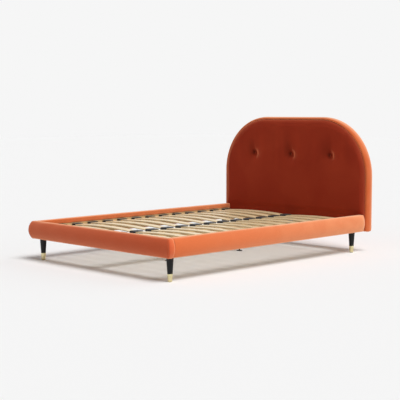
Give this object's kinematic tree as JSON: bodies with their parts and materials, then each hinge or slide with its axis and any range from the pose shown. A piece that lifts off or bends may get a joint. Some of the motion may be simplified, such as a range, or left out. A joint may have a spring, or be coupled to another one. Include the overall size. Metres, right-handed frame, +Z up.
{
  "type": "upholstered bed frame",
  "caption": "Low double bed frame with padded velvet rails, an arched button-tufted headboard, sprung slats and tapered black legs with brass ferrules.",
  "frame": {"origin": "on the floor, at the middle of the frame's length and width", "axes": "+X to the right seen from the foot, +Y from the foot rail to the headboard, +Z up"},
  "size_m": [1.5, 2.16, 1.035],
  "materials": {
    "velvet": "cotton velvet, nap laid outwards",
    "velvet_against_nap": "the same velvet, nap laid upwards so it reads darker",
    "pine": "planed softwood, bare",
    "birch": "bent and flat birch plywood, clear lacquer",
    "hardboard": "pressed hardboard",
    "black_lacquer": "turned hardwood, satin black lacquer",
    "brass": "brushed, clear lacquered",
    "zinc_steel": "zinc plated",
    "nylon": "moulded black nylon"
  },
  "bodies": {
    "frame": {"foot_rail": "pine", "side_rail_left": "pine", "side_rail_right": "pine", "head_rail": "pine", "foot_rail_cover": "velvet", "side_rail_cover_left": "velvet", "side_rail_cover_right": "velvet", "corner_blocks": "pine", "slat_ledge_left": "pine", "slat_ledge_right": "pine", "centre_rail": "pine", "centre_rail_hangers": "zinc_steel", "centre_leg_foot_end": "black_lacquer", "centre_leg_head_end": "black_lacquer", "leg_foot_left": "black_lacquer", "leg_foot_right": "black_lacquer", "leg_head_left": "black_lacquer", "leg_head_right": "black_lacquer", "ferrule_foot_left": "brass", "ferrule_foot_right": "brass", "ferrule_head_left": "brass", "ferrule_head_right": "brass", "glides": "nylon", "leg_bolts": "zinc_steel", "corner_bolts": "zinc_steel", "timber_screws": "zinc_steel", "headboard_bolts": "zinc_steel", "slat_holders_side": "nylon", "slat_holders_centre": "nylon", "slats_01": "birch", "slats_02": "birch", "slats_03": "birch", "slats_04": "birch", "slats_05": "birch", "slats_06": "birch", "slats_07": "birch", "slats_08": "birch", "slats_09": "birch", "slats_10": "birch", "slats_11": "birch", "slats_12": "birch", "slats_13": "birch", "slats_14": "birch", "headboard_base_rail": "pine", "headboard_post_left": "pine", "headboard_post_right": "pine", "headboard_corner_left": "pine", "headboard_corner_right": "pine", "headboard_top_rail": "pine", "headboard_studs": "pine", "headboard_front_panel": "birch", "headboard_pad": "velvet_against_nap", "headboard_border": "velvet", "headboard_back_panel": "hardboard", "headboard_back_cover": "velvet", "headboard_buttons": "velvet", "button_ties": "nylon"},
    "leveller_foot_end": {"levelling_foot_foot_end": "nylon"},
    "leveller_head_end": {"levelling_foot_head_end": "nylon"}
  },
  "joints": [
    {"name": "leveller_foot_end_screw", "type": "slide", "parent": "frame", "child": "leveller_foot_end", "axis": [0, 0, 1], "range_m": [0, 0.012]},
    {"name": "leveller_head_end_screw", "type": "slide", "parent": "frame", "child": "leveller_head_end", "axis": [0, 0, 1], "range_m": [0, 0.012]}
  ]
}
